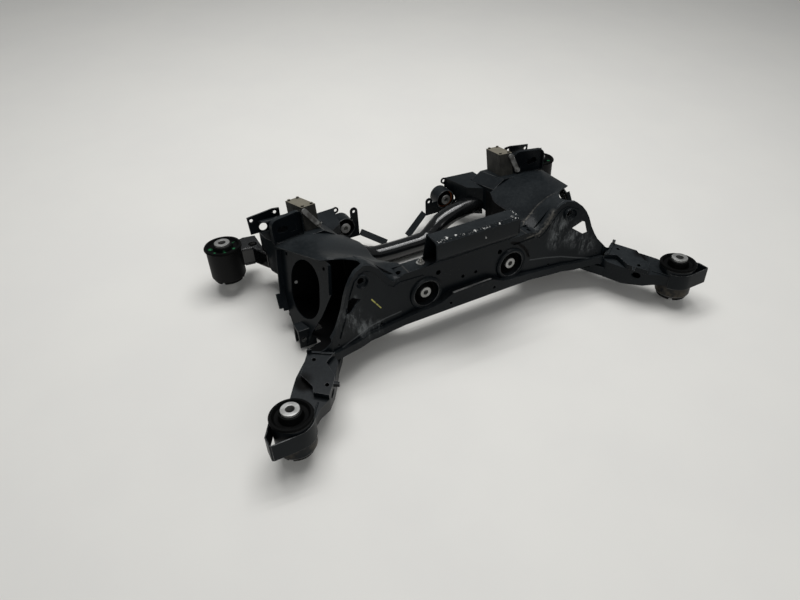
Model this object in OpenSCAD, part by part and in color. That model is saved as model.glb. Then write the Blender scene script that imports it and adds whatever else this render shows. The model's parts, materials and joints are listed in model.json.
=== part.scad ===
// Rear subframe of a car: pressed steel beams with rubber body mounts and differential bushes.
// Shapes are drawn in the car's own frame (X right, Y forward, Z up, Y = 0 at the rear mounts),
// then seat() lays the whole frame on the floor, where it leans by rest_pitch.

/* [Sheet metal] */
// Thickness of the pressed sheet
sheet_t = 3; // [2.6:0.1:3.4]
// Clearance left at each seam
seam = 0.2; // [0.1:0.05:0.3]
// Lean of the frame when it lies on a floor
rest_pitch = 9; // [8.5:0.1:9.5]

/* [Body mounts] */
// Half distance between the rear mounts
rear_mount_x = 567; // [560:1:574]
// Height of the rear sleeve tops
rear_mount_top = 142; // [138:1:146]
// Half distance between the front mounts
front_mount_x = 537; // [530:1:544]
// Forward distance from the rear to the front mounts
front_mount_y = 590; // [584:1:598]
// Height of the front sleeve tops
front_mount_top = 239; // [235:1:243]
// Outer radius of the rear mount can
rear_can_r = 46; // [44:0.5:48]
// Outer radius of the front mount can
front_can_r = 47; // [45:0.5:49]
// Length of a mount can
can_len = 84; // [78:1:88]
// Radius of the rear rubber flange
rear_flange_r = 49; // [48.5:0.5:51]
// Radius of the front rubber flange
front_flange_r = 51; // [49.5:0.5:53]
// Outer radius of the mount sleeves
mount_sleeve_r = 21; // [19:0.5:23]
// Bolt hole radius of the mount sleeves
mount_bore_r = 10; // [8:0.5:12]

/* [Differential bushes] */
// Half distance between the rear bushes
rear_bush_x = 131; // [127:1:135]
// Height of the rear bushes
rear_bush_z = 166; // [162:1:170]
// Outer radius of a rear bush ring
rear_bush_r = 38; // [36:0.5:40]
// Half distance between the front bushes
front_bush_x = 175; // [172:1:178]
// Height of the front bushes
front_bush_z = 174; // [170:1:178]
// Forward place of the front bush sleeve ends
front_bush_y = 589; // [585:1:593]
// Outer radius of a front bush ring
front_bush_r = 31; // [29:0.5:33]
// Outer radius of the bush sleeves
bush_sleeve_r = 15; // [13:0.5:17]
// Bolt hole radius of the bush sleeves
bush_bore_r = 6.5; // [5:0.5:8]

/* [Rear beam] */
// Forward place of the face panel
beam_y = 187; // [184:1:190]
// Depth of the box behind the panel
beam_depth = 50; // [46:1:54]
// Height of the beam's top flange
beam_top = 243; // [240:1:246]
// Height of the beam's lower edge
beam_low = 104; // [100:1:108]
// Step of the lower lip towards the rear
lip_step = 20; // [16:1:24]
// Half width of the face panel
panel_half = 412; // [410:1:414]
// Half length of the bridge tube
bridge_half = 121; // [115:1:126]
// Height of the bridge tube's top
bridge_top = 330; // [325:1:335]
// Depth of the bridge tube
bridge_depth = 50; // [46:1:54]

/* [Side members] */
// Length of the shaft opening
shaft_long = 154; // [140:1:158]
// Width of the shaft opening
shaft_wide = 120; // [110:1:124]
// Width of the ledge over the outer plate
ledge_w = 15; // [12:1:18]
// Gap inside the lower link bracket
link_gap = 30; // [26:1:34]

/* [Front corner] */
// Height of the corner plate's top edge
plate_top = 312; // [306:1:316]
// Width of the upper arm bracket
pan_w = 95; // [90:1:98]
// Height of the upper arm bracket
pan_h = 76; // [72:1:80]
// Width of the damper block
damper_w = 41; // [38:1:43]
// Length of the damper block
damper_l = 94; // [90:1:97]
// Height of the damper block
damper_h = 66; // [62:1:70]
// Radius of the front crossmember
cross_r = 27; // [25:0.5:28]

/* [Hidden] */
$fn = 48;
black = [0.07, 0.07, 0.08];
gloss = [0.04, 0.04, 0.045];
rubber = [0.03, 0.03, 0.03];
alloy = [0.72, 0.72, 0.7];
cast = [0.36, 0.33, 0.29];
bright = [0.78, 0.78, 0.74];

// top edge of the face panel beyond the flat middle: distance from the middle, height over the beam
ear_line = [[190, 0], [200, -3], [212, -9], [222, -11], [234, 1], [246, 19], [258, 37], [270, 50],
    [282, 59],
    [300, 65], [325, 60], [340, 47], [352, 31], [362, 11], [372, -18], [383, -41],
    [394, -60], [panel_half, -80]];
// height of the step in the panel, its lower edge and its forward place, in the same way
step_at = [[0, 42], [62, 42], [95, 26], [140, 20], [200, 10], [260, 5], [330, 8], [400, 20],
    [panel_half, 21]];
low_at = [[0, 0], [120, 0], [200, -8], [260, -13], [330, -10], [400, 2], [panel_half, 3]];
plan_at = [[0, 0], [190, 0], [250, -2], [300, -9], [345, -27], [400, -47], [panel_half, -50]];
// forward step of the lower lip, as a share of lip_step
lip_at = [[0, 1], [120, 1], [200, 0.55], [400, 0.5], [panel_half, 0.5]];
// raised field of the ear, bounded by the arc round the bush and the long bead
field_at = [[137, 221], [160, 213], [173, 201], [186, 184], [195, 164], [203, 157], [388, 153], [368,
    194],
    [359, 222], [346, 254], [330, 282], [300, 292], [284, 286], [268, 268], [252, 246], [238, 228],
        [222, 217],
    [205, 224]];
field_d = 2.5;
// forward place where the side shells begin
shell_y = 204;
// forward end of the side shells
shell_end = 446;
ear_x = 310;
ear_z = 270;
ear_hole_r = 8.5;
dimple_r = 16;
dimple_d = 6;
lip_w = 24;
flange_w = 36;
rear_fl_z = rear_mount_top - 24;
front_fl_z = front_mount_top - 17;
rubber_h = 8;
strap_low = 64;
strap_h = 46;
strap_x = rear_mount_x + 67;
strap_t = sheet_t;
strap_out = -(rear_can_r + seam) / cos(5) - strap_t;
link_x = 405;
link_w = 46;
link_y = 282;
link_h = 56;
link_t = 4;
cross_y = 505;
cross_low = 78;
tower_in = 254;
tower_out = 436;
tower_y = shell_end + seam;
tower_end = 572;
tower_low = 159;
shoulder_lean = 34;
plate_y = 560;
pan_y = 464;
pan_yaw = -15;
pan_x = 388;
pan_z = 300;
cup_d = 24;
damper_x = 312;
damper_y = 478;
damper_z = 266;
damper_yaw = -9.5;
arm_top = 115;
arm_mid = 100;
arm_low = 46;
shelf_z = 230;

// corners of the outer plate's plane: front top, rear top, lower tip
plate_a = [shell_out(436), 436, shell_out_z(436)];
plate_b = [shell_out(264), 264, shell_out_z(264)];
plate_c = [440, 296, 46];

// outline of the rear arm's upper shell, seen from above in the level frame
arm_upper_at = [[panel_half + seam, 145], [467, 177], [508, 117], [496, 75], [501, 59], [473, 36],
    [447, 69],
    [440, 82], [442, 126]];
// outline of the rear arm's lower shell, with the neck that reaches the can
neck = rear_mount_x - 567;
arm_lower_at = [[panel_half + seam, 145], [467, 178], [517, 126], [531 + neck, 106], [552 + neck, 74],
    [567 + neck, 30], [545 + neck, 0], [527 + neck, -4], [500 + neck / 2, 22], [473, 36], [447, 69],
    [panel_half + seam, 127]];
// root of the lower shell, which passes under the face panel
root_in = [26, 39, 28];
root_out = 6;
arm_root_at = [[panel_half - root_in[0], 165], [panel_half - root_in[1], 187],
    [panel_half - root_in[2], 193], [panel_half + root_out, 145], [panel_half + root_out, 121]];
arm_root_top = 75;

// where the frame stands on the floor and how far it reaches, in the laid frame
function laid_y(y, z) = y * cos(rest_pitch) + z * sin(rest_pitch);
function laid_z(y, z) = z * cos(rest_pitch) - y * sin(rest_pitch);
cross_foot = laid_z(cross_y + cross_r * sin(rest_pitch), cross_low + cross_r - cross_r * cos(rest_pitch));
link_low = (cross_foot + (link_y + link_gap + 2 * link_t) * sin(rest_pitch)) / cos(rest_pitch);
floor_lift = -cross_foot;
rear_reach = laid_y(strap_out, strap_low);
front_reach = laid_y(front_mount_y + front_flange_r, front_fl_z + rubber_h);
plan_mid = (rear_reach + front_reach) / 2;

// small vector helpers
function unit(v) = v / norm(v);
function lerp(a, b, t) = a + (b - a) * t;
function ease(t) = t * t * (3 - 2 * t);
function within(t) = max(0, min(1, t));
function side_of(a, b) = [-(b[1] - a[1]), b[0] - a[0]] / norm(b - a);
function joint_of(u, v) = 2 * (u + v) / ((u + v) * (u + v));

// offset direction at point i of an open line
function open_joint(p, i) =
    i == 0 ? side_of(p[0], p[1]) :
    i == len(p) - 1 ? side_of(p[i - 1], p[i]) :
    joint_of(side_of(p[i - 1], p[i]), side_of(p[i], p[i + 1]));

// closed outline of a sheet of thickness t beside an open line
function sheet(p, t) = concat(p, [for (i = [len(p) - 1:-1:0]) p[i] + t * open_joint(p, i)]);

// corners of an open line replaced by short bends
function bends(p, r) = [
    p[0],
    for (i = [1:len(p) - 2]) each [p[i] + r * unit(p[i - 1] - p[i]), p[i] + r * unit(p[i + 1] - p[i])],
    p[len(p) - 1]
];

// closed outline moved inwards by d, for outlines that run clockwise
function inset(p, d) = [
    for (i = [0:len(p) - 1])
        let (a = p[(i + len(p) - 1) % len(p)], b = p[i], c = p[(i + 1) % len(p)])
        b - d * joint_of(side_of(a, b), side_of(b, c))
];

// solid that runs through a list of closed rings
module ring_loft(rings) {
    n = len(rings[0]);
    m = len(rings);
    walls = [
        for (i = [0:m - 2]) for (j = [0:n - 1])
            let (a = i * n + j, b = i * n + (j + 1) % n, c = (i + 1) * n + (j + 1) % n,
                d = (i + 1) * n + j)
            each [[a, c, b], [a, d, c]]
    ];
    first = [for (j = [0:n - 1]) j];
    last = [for (j = [n - 1:-1:0]) (m - 1) * n + j];
    polyhedron([for (r = rings) each r], concat(walls, [first, last]), convexity = 8);
}

// local plane with x from p to q, y towards r
module on_plane(p, q, r) {
    u = unit(q - p);
    n = unit(cross(u, r - p));
    v = cross(n, u);
    translate(p) rotate([atan2(v[2], n[2]), -asin(u[2]), atan2(u[1], u[0])]) children();
}

// whole frame laid on the floor
module seat() {
    translate([0, -plan_mid, floor_lift]) rotate([-rest_pitch, 0, 0]) children();
}

// right hand shape, mirrored for the left hand
module hand(side) {
    seat() mirror([side < 0 ? 1 : 0, 0, 0]) children();
}

// pieces that lie level when the frame rests on the floor
module level() {
    rotate([rest_pitch, 0, 0]) children();
}

// cylinder along Y between two places
module along_y(x, z, r, y0, y1) {
    translate([x, y0, z]) rotate([-90, 0, 0]) cylinder(r = r, h = y1 - y0);
}

// turned shape about an axis along Y, from [radius, forward] points
module turned_y(x, z, points) {
    translate([x, 0, z]) rotate([-90, 0, 0]) rotate_extrude($fn = 64) polygon(points);
}

// turned shape about a vertical axis, from [radius, height] points
module turned_z(x, y, points) {
    translate([x, y, 0]) rotate_extrude($fn = 64) polygon(points);
}

// lines of the face panel, mirrored about the middle
function both(pts) = concat([for (i = [len(pts) - 1:-1:0]) if (pts[i][0] > 0) [-pts[i][0], pts[i][1]]],
    pts);
function raised(pts, z) = [for (p = pts) [p[0], p[1] + z]];
function panel_y(a) = beam_y + lookup(a, plan_at);
function panel_low(a) = beam_low + lookup(a, low_at);
function panel_top(a) = beam_top + lookup(a, ear_all);
function flange_end(a) = a <= 205 ? beam_y + flange_w : a <= 296 ? shell_y - seam : panel_y(a) + 13;
ear_all = concat([[0, 0]], ear_line);
top_line = both(raised(ear_all, beam_top));
step_line = both(raised(step_at, beam_low));
low_line = both(raised(low_at, beam_low));
plan_line = both(raised(plan_at, beam_y));
flange_at = [0, 205, 205.1, 296, 300, 345, 400, panel_half];
flange_line = both([for (a = flange_at) [a, flange_end(a)]]);
lip_stops = [0, 120, 190, 200, 250, 300, 345, 400, panel_half];
lip_line = both([for (a = lip_stops) [a, panel_y(a) - lip_step * lookup(a, lip_at)]]);
function back(pts, d) = [for (i = [len(pts) - 1:-1:0]) pts[i] + [0, d]];

// upright prism over a plan outline, and prism along Y over an outline seen from the rear
module plan_prism(points) {
    translate([0, 0, 20]) linear_extrude(400) polygon(points);
}

module face_prism(points) {
    translate([0, 400, 0]) rotate([90, 0, 0]) linear_extrude(400) polygon(points);
}

module plan_band(near, far, from, to) {
    plan_prism(concat(raised(near, from), back(far, to)));
}

module panel_sheets() {
    intersection() {
        plan_band(plan_line, plan_line, 0, sheet_t);
        face_prism(concat(step_line, back(top_line, 0)));
    }
    intersection() {
        plan_band(plan_line, flange_line, 0, 0);
        face_prism(sheet(top_line, -sheet_t));
    }
    intersection() {
        plan_band(lip_line, plan_line, 0, sheet_t);
        face_prism(sheet(step_line, sheet_t));
    }
    intersection() {
        plan_band(lip_line, lip_line, 0, sheet_t);
        face_prism(concat(low_line, back(step_line, 1)));
    }
    intersection() {
        plan_band(lip_line, lip_line, 0, lip_w);
        face_prism(sheet(low_line, sheet_t));
    }
    for (s = [0, 1]) {
        mirror([s, 0, 0]) intersection() {
            plan_band(plan_line, plan_line, -field_d, 1);
            face_prism(field_at);
        }
    }
}

module panel_holes() {
    along_y(rear_bush_x, rear_bush_z, rear_bush_r + seam, beam_y - 60, beam_y + 60);
    along_y(94, 214, 7, beam_y - 40, beam_y + 20);
    along_y(20, 177, 5, beam_y - 40, beam_y + 20);
    along_y(68, 122, 4, beam_y - 60, beam_y + 10);
    along_y(262, 120, 4, beam_y - 60, beam_y + 10);
    along_y(394, 136, 4, beam_y - 100, beam_y + 10);
    translate([199, beam_y + 17, beam_top - 30]) cylinder(r = 7, h = 60);
    face_prism([[318, 227], [343, 246], [353, 242], [363, 208], [352, 204]]);
}

module rear_face_panel() {
    ear_y = panel_y(ear_x);
    color(black) seat() difference() {
        union() {
            difference() {
                panel_sheets();
                for (s = [-1, 1]) {
                    along_y(s * ear_x, ear_z, dimple_r, beam_y - 60, beam_y + 9);
                }
            }
            for (s = [-1, 1]) {
                turned_y(s * rear_bush_x, rear_bush_z, [[rear_bush_r + seam - 1, beam_y - 6],
                    [rear_bush_r + 3, beam_y - 7], [rear_bush_r + 7, beam_y - 5], [rear_bush_r + 9,
                        beam_y + 0.5],
                    [rear_bush_r + 9, beam_y + 2], [rear_bush_r + seam - 1, beam_y + 2]]);
                turned_y(s * ear_x, ear_z, [[ear_hole_r, ear_y + dimple_d - sheet_t],
                    [dimple_r - 4, ear_y + dimple_d - sheet_t - 1], [dimple_r, ear_y - 5],
                        [dimple_r + 3, ear_y - 5],
                    [dimple_r + 4, ear_y + 2], [dimple_r - 1, ear_y + dimple_d], [ear_hole_r,
                        ear_y + dimple_d]]);
            }
        }
        for (s = [0, 1]) {
            mirror([s, 0, 0]) panel_holes();
        }
    }
}

// closing shell of the rear beam
back_at = [0, 120, 190, 198];
back_top = both([for (a = back_at) [a, panel_top(a) - sheet_t - seam]]);
back_low = both([for (a = back_at) [a, panel_low(a) + sheet_t + seam]]);

module rear_back_shell() {
    color(black) seat() difference() {
        union() {
            intersection() {
                plan_band(plan_line, plan_line, sheet_t + 1, beam_depth);
                face_prism(sheet(back_top, -sheet_t));
            }
            intersection() {
                plan_band(plan_line, plan_line, beam_depth - sheet_t, beam_depth);
                face_prism(concat(back_low, back(back_top, 0)));
            }
            intersection() {
                plan_band(lip_line, plan_line, sheet_t + 1, beam_depth);
                face_prism(sheet(back_low, sheet_t));
            }
        }
        for (s = [-1, 1]) {
            along_y(s * rear_bush_x, rear_bush_z, rear_bush_r + seam, beam_y - 60, beam_y + 80);
            translate([s * 199, beam_y + 17, beam_top - 30]) cylinder(r = 7, h = 60);
        }
    }
}

// folded channel on top of the rear beam
bridge_line = bends([[beam_y + 2, beam_top - 2], [beam_y - 39, beam_top + 33],
    [beam_y - 40, bridge_top - 2], [beam_y - 40 + bridge_depth, bridge_top + 1],
    [beam_y + 35, beam_top - 2]], 7);

module bridge_tube() {
    color(black) seat() difference() {
        translate([-bridge_half, 0, 0]) rotate([90, 0, 90]) linear_extrude(2 * bridge_half)
            polygon(sheet(bridge_line, -sheet_t));
        translate([-bridge_half - 10, beam_y - 50, beam_top - 50]) cube([2 * bridge_half + 20, 120,
            50 + seam]);
    }
}

// smooth top of the side member
saddle_y = beam_y + flange_w + seam;
shell_at = [shell_y, 213, saddle_y, saddle_y + 1, 232, 240, 250, 264, 282, 304, 330, 360, 390, 420,
    shell_end];
shell_in_at = [[shell_y, 206], [saddle_y, 206], [saddle_y + 1, 178], [240, 182], [250, 192], [264,
    203], [282, 216],
    [300, 220], [330, 216], [381, 213], [415, 227], [446, 241]];
function shell_in(y) = lookup(y, shell_in_at);
function shell_in_z(y) = beam_top + lookup(y, [[204, 1], [240, 1], [300, -2], [390, -3], [446, -2]]);
function shell_out(y) = lookup(y, [[204, 294], [222, 305], [240, 320], [250, 334], [264, 359], [446, 417]]);
function shell_out_z(y) = lookup(y, [[204, 303], [264, 303], [446, 269]]);
function ledge(y) = lookup(y, [[250, 3], [264, ledge_w]]);
function crown(y) = lookup(y, [[204, 0], [324, 9], [446, 17]]);
// the rear of the shell follows the panel's ear, the rest rises evenly to the outer edge
function shell_z(s, y) =
    let (k = within((y - 204) / 120), ear = beam_top + 0.6 + lookup(lerp(shell_in(y), shell_out(y), s),
        ear_all))
    lerp(ear, lerp(shell_in_z(y), shell_out_z(y), lerp(ease(s), s, k)) + crown(y) * sin(180 * s),
        within((y - 204) / 50));
function shell_line(y) = concat(
    [for (s = [0, 0.12, 0.25, 0.4, 0.55, 0.7, 0.85, 1]) [lerp(shell_in(y), shell_out(y), s), shell_z(s,
        y)]],
    [[shell_out(y) + ledge(y), shell_z(1, y) - 2]]);
function shell_ring(y) = [for (p = sheet(shell_line(y), -sheet_t)) [p[0], y, p[1]]];

module side_top(side) {
    color(black) hand(side) ring_loft([for (i = [len(shell_at) - 1:-1:0]) shell_ring(shell_at[i])]);
}

// outer plate of the side member, with the shaft opening
plate_low = sheet_t + 1.1;
plate_at = [[-9, plate_low], [174, plate_low], [188, plate_low + 5], [201, 16], [205, 86], [168, 150],
    [126, 205], [96, 258], [72, 258], [58, 236],
    [22, 172], [5, 134], [-7, 34]];

module plate_frame() {
    on_plane(plate_a, plate_b, plate_c) children();
}

module link_space() {
    translate([link_x - 20, link_y - seam, link_low - 20])
        cube([90, link_gap + 2 * link_t + 2 * seam, link_h + 20 + seam]);
}

module oval(w, h) {
    straight = (h - w) / 2;
    translate([0, -straight]) circle(d = w);
    translate([0, straight]) circle(d = w);
    translate([-w / 2, -straight]) square([w, 2 * straight]);
}

module side_outer(side) {
    flange = 14;
    color(black) hand(side) difference() {
        plate_frame() translate([0, 0, -sheet_t]) {
            difference() {
                linear_extrude(sheet_t) polygon(plate_at);
                translate([99, 98, -1]) linear_extrude(sheet_t + 2) oval(shaft_wide, shaft_long);
                translate([20, 20, -1]) cylinder(r = 5, h = 10);
                translate([176, 28, -1]) cylinder(r = 5, h = 10);
            }
            linear_extrude(sheet_t + flange)
                polygon(sheet([[-8, 14], [-7, 34], [5, 134], [22, 172]], -sheet_t));
            linear_extrude(sheet_t + flange / 2) polygon(sheet([[205, 86], [201, 14]], -sheet_t));
            linear_extrude(sheet_t + 26) polygon(sheet([[3, 128], [5, 134], [19, 165]], -sheet_t));
        }
        link_space();
    }
}

// inner plate of the side member
inner_at = concat([beam_y + beam_depth + seam], [for (y = shell_at) if (y > beam_y + beam_depth + 2) y],
    [shell_end + 24]);
function inner_x(y) = shell_in(y) + sheet_t + seam;
function inner_low(y) = lookup(y, [[230, 94], [300, 92], [400, 98], [470, 104]]);
function inner_ring(y) =
    let (x = inner_x(min(y, shell_end)), top = shell_z(0, min(y, shell_end)) - sheet_t - 2,
        low = inner_low(y))
    [[x, y, low], [x, y, top], [x + sheet_t, y, top], [x + sheet_t, y, low]];

module side_inner(side) {
    color(black) hand(side) difference() {
        ring_loft([for (i = [len(inner_at) - 1:-1:0]) inner_ring(inner_at[i])]);
        translate([150, 330, 172]) rotate([0, 90, 0]) cylinder(d = shaft_wide - 6, h = 150);
        cross_space(seam, side);
    }
}

// floor of the side member
floor_z = 88;
wall_y = shell_end - sheet_t;
module side_floor(side) {
    far = inner_x(330) + sheet_t + 6;
    wall_in = inner_x(shell_end) + sheet_t + 1;
    color(black) hand(side) difference() {
        union() {
            translate([0, 0, floor_z]) linear_extrude(sheet_t)
                polygon([[far, beam_y + 10], [far, 420], [wall_in, shell_end], [414, shell_end], [440,
                    385], [436, 290],
                    [468, 164], [panel_half + 3, 128], [394, panel_y(394) + 4.5], [362,
                        panel_y(362) + 4.5],
                    [325, panel_y(325) + 4.5], [300, panel_y(300) + 4.5], [270, panel_y(270) + 4.5]]);
            translate([wall_in, wall_y, floor_z]) cube([414 - wall_in, sheet_t,
                tower_low + 40 - floor_z]);
        }
        plate_frame() translate([-200, -100, -sheet_t - seam]) cube([360, 500, 200]);
        link_space();
        arm_prism([for (p = arm_lower_at) [p[0], p[1] + seam]], arm_low - 1, arm_low + arm_mid);
        arm_prism(inset(arm_root_at, -2 * seam), arm_low - 1, arm_root_top + seam);
    }
}

// U bracket for the lower link
module link_bracket(side) {
    color(black) hand(side) difference() {
        translate([link_x, link_y, link_low]) difference() {
            cube([link_w, link_gap + 2 * link_t, link_h]);
            translate([link_t, link_t, -1]) cube([link_w, link_gap, link_h - link_t + 1]);
        }
        along_y(link_x + 34, link_low + 26, 6, link_y - 1, link_y + 60);
    }
}

// rear arm in two shells that meet at a seam
module arm_prism(points, low, high) {
    level() translate([0, 0, low]) linear_extrude(high - low) polygon(points);
}

// space under the rising floor of the arm
module arm_under(lift) {
    level() translate([300, 82, arm_low + lift]) rotate([-16, 0, 0]) translate([0, -200,
        -100]) cube([400, 200, 100]);
}

module can_space(x, y, r) {
    translate([x, y, -100]) cylinder(r = r + seam, h = 500);
}

module rear_arm_upper(side) {
    color(black) hand(side) {
        difference() {
            arm_prism(arm_upper_at, arm_mid + seam, arm_top);
            arm_prism(inset(arm_upper_at, sheet_t), arm_mid - 1, arm_top - sheet_t);
            level() translate([466, 65, arm_top - 20]) cylinder(r = 5, h = 40);
            level() translate([464, 146, arm_top - 20]) cylinder(r = 5, h = 40);
        }
        arm_prism([[461, 166], [467, 175], [472, 168]], arm_top - 1, arm_top + 13);
        arm_prism([[panel_half + 6, 143], [464, 171], [466, 167], [panel_half + 10, 140]], arm_top - 1,
            arm_top + 4);
        arm_prism([[451, 73], [457, 65], [440, 56], [437, 61]], arm_mid + 2, arm_top - 2);
    }
}

module rear_arm_lower(side) {
    color(black) hand(side) difference() {
        arm_prism(arm_lower_at, arm_low, arm_mid);
        arm_under(0);
        difference() {
            union() {
                arm_prism(inset(arm_lower_at, sheet_t), arm_low + sheet_t, arm_mid - sheet_t);
                arm_prism(inset(arm_upper_at, sheet_t), arm_low + sheet_t, arm_mid + 1);
            }
            arm_under(sheet_t);
        }
        can_space(rear_mount_x, 0, rear_can_r);
        translate([380, 42, 96]) rotate([0, 90, 0]) cylinder(r = 10, h = 90);
    }
    color(black) hand(side) difference() {
        arm_prism(arm_root_at, arm_low, arm_root_top);
        arm_prism(inset(arm_root_at, sheet_t), arm_low + sheet_t, arm_root_top + 1);
    }
}

// folded strap round the outer end of the rear mount
module guard_strap(side) {
    reach = (rear_can_r + seam) / cos(5);
    line = concat([for (a = [200:10:260]) [rear_mount_x + reach * cos(a), reach * sin(a)]],
        [[rear_mount_x, -reach], [strap_x - strap_t - 2, -reach], [strap_x - strap_t, 2 - reach],
            [strap_x - strap_t, -19], [strap_x - strap_t - 2, -16]],
        [for (a = [32:10:72]) [rear_mount_x + reach * cos(a), reach * sin(a)]]);
    color(black) hand(side) difference() {
        translate([0, 0, strap_low]) linear_extrude(strap_h) polygon(sheet(line, -strap_t));
        arm_prism(inset(arm_lower_at, -seam), -100, 300);
    }
}

// steel can of a mount
module can(x, y, r, top) {
    turned_z(x, y, [[r - sheet_t, top - can_len], [r - 3, top - can_len - 2], [r, top - can_len + 2],
        [r, top],
        [r - sheet_t, top]]);
}

// rubber of a mount: flange and dome above the can, body inside, notched stop below
module mount_rubber(x, y, r, flange_r, top, fl_z) {
    inner = mount_sleeve_r + seam / 2;
    body = r - sheet_t - seam / 2;
    low = fl_z - can_len;
    difference() {
        turned_z(x, y, [[inner, low - 10], [r - 6, low - 10], [r - 4, low - 3], [body, low - 3], [body,
            fl_z + seam],
            [flange_r - 2, fl_z + seam], [flange_r, fl_z + 3], [flange_r, fl_z + rubber_h - 3],
            [flange_r - 2, fl_z + rubber_h], [flange_r - 7, fl_z + rubber_h], [flange_r - 12, fl_z + 2],
            [inner + 7, fl_z + 1], [inner + 4, top - 7], [inner, top - 6]]);
        for (k = [0:3]) {
            translate([x, y, low - 11]) rotate([0, 0, 40 + 90 * k]) translate([r - 16, -5,
                0]) cube([30, 10, 8]);
        }
    }
}

module mount_sleeve(x, y, top) {
    translate([x, y, top - can_len - 28]) difference() {
        cylinder(r = mount_sleeve_r, h = can_len + 28);
        translate([0, 0, -1]) cylinder(r = mount_bore_r, h = can_len + 30);
    }
}

module rear_can(side) {
    color(black) hand(side) can(rear_mount_x, 0, rear_can_r, rear_fl_z);
}

module rear_rubber(side) {
    color(rubber) hand(side)
        mount_rubber(rear_mount_x, 0, rear_can_r, rear_flange_r, rear_mount_top, rear_fl_z);
}

module rear_sleeve(side) {
    color(alloy) hand(side) mount_sleeve(rear_mount_x, 0, rear_mount_top);
}

module front_can(side) {
    color(black) hand(side) can(front_mount_x, front_mount_y, front_can_r, front_fl_z);
}

module front_rubber(side) {
    color(rubber) hand(side)
        mount_rubber(front_mount_x, front_mount_y, front_can_r, front_flange_r, front_mount_top,
            front_fl_z);
}

module front_sleeve(side) {
    color(alloy) hand(side) mount_sleeve(front_mount_x, front_mount_y, front_mount_top);
}

// box that joins the side member, the front arm and the front crossmember
tower_at = [[tower_in, tower_y], [tower_in, tower_end], [tower_out, tower_end], [tower_out, 505],
    [tower_out - 18, tower_y]];

module tower_slope(z) {
    translate([0, damper_y, z]) rotate([-rest_pitch, 0, 0]) translate([0, -300, 0]) cube([800, 700, 300]);
}

// everything above the tower's inner shoulder
module tower_shoulder(drop) {
    translate([0, damper_y, damper_z]) rotate([-rest_pitch, 0, 0])
        translate([tower_in + 36, -300, -seam - drop]) rotate([0, -shoulder_lean, 0])
            translate([-200, 0, 0]) cube([200, 700, 200]);
}

module front_tower(side) {
    color(black) hand(side) difference() {
        translate([0, 0, tower_low]) linear_extrude(260) polygon(tower_at);
        difference() {
            translate([0, 0, tower_low + sheet_t]) linear_extrude(262) polygon(inset(tower_at, sheet_t));
            tower_slope(damper_z - sheet_t - seam);
            tower_shoulder(1.3 * sheet_t);
        }
        tower_slope(damper_z - seam);
        tower_shoulder(0);
        cross_space(seam, side);
    }
}

// glossy arm out to the front mount
front_arm_at = [[tower_out + seam, 520], [tower_out + seam, 640], [470, 646], [front_mount_x,
    front_mount_y + 30],
    [front_mount_x, front_mount_y - 20], [front_mount_x - 45, 576], [462, 572]];

front_arm_h = 47;

module front_arm(side) {
    color(gloss) hand(side) difference() {
        translate([0, 0, tower_low]) linear_extrude(front_arm_h) polygon(front_arm_at);
        translate([0, 0, tower_low + sheet_t]) linear_extrude(front_arm_h - 2 * sheet_t)
            polygon(inset(front_arm_at, sheet_t));
        can_space(front_mount_x, front_mount_y, front_can_r);
        translate([455, 596, 100]) cylinder(r = 12, h = 150);
    }
}

// upright plate behind the upper arm bracket
module corner_plate(side) {
    top = plate_top;
    low = damper_z - (plate_y - damper_y) * tan(rest_pitch);
    color(black) hand(side) translate([0, plate_y + sheet_t, 0]) rotate([90, 0, 0]) difference() {
        linear_extrude(sheet_t) polygon([[372, low], [372, top], [392, top + 2], [464, top - 7], [461,
            low]]);
        translate([453, 294, -1]) cylinder(r = 4.5, h = 10);
        translate([386, 302, -1]) cylinder(r = 4.5, h = 10);
        translate([424, 268, -1]) cylinder(r = 11, h = 10);
    }
}

// rounded pan that holds the upper arm
module pan_shape(w, h, r) {
    for (x = [-1, 1]) for (z = [-1, 1]) translate([x * (w / 2 - r), z * (h / 2 - r)]) circle(r = r);
    square([w - 2 * r, h], center = true);
    square([w, h - 2 * r], center = true);
}

module arm_bracket(side) {
    rim = 9;
    web_z = pan_z + pan_h / 2 - 10;
    web_l = plate_y - pan_y - seam;
    color(black) hand(side) intersection() {
        union() {
            translate([pan_x, pan_y, pan_z]) rotate([0, 0, pan_yaw]) rotate([90, 0, 0]) difference() {
                linear_extrude(sheet_t + rim) pan_shape(pan_w, pan_h, 18);
                translate([0, 0, sheet_t]) linear_extrude(rim + 1) pan_shape(pan_w - 8, pan_h - 8, 15);
                translate([12, 0, -1]) rotate([0, 0, 15]) linear_extrude(sheet_t + 2) rotate([0, 0,
                    90]) oval(18, 32);
                translate([-20, -6, sheet_t - 1.2]) linear_extrude(2)
                    polygon([[-10, -11], [-10, 5], [0, 14], [10, 5], [10, -11]]);
            }
            translate([pan_x, pan_y, pan_z]) rotate([0, 0, pan_yaw]) rotate([90, 0, 0]) translate([12,
                0, 0])
                rotate([0, 0, 105]) difference() {
                    translate([0, 0, -cup_d]) linear_extrude(cup_d + 1) oval(25, 39);
                    translate([0, 0, sheet_t - cup_d]) linear_extrude(cup_d + 1) oval(18, 32);
                }
            difference() {
                on_plane([352, pan_y - 1, web_z], [438, pan_y - 1, web_z], [352, plate_y, plate_top - 26])
                    cube([86, web_l, sheet_t]);
                translate([pan_x, pan_y, 0]) rotate([0, 0, pan_yaw]) translate([-100, -100 - sheet_t, 0])
                    cube([200, 100, 500]);
            }
        }
        difference() {
            tower_slope(damper_z);
            damper_space(side);
            strap_space(side);
            translate([300, plate_y - seam, 200]) cube([200, 50, 200]);
        }
    }
}

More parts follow.
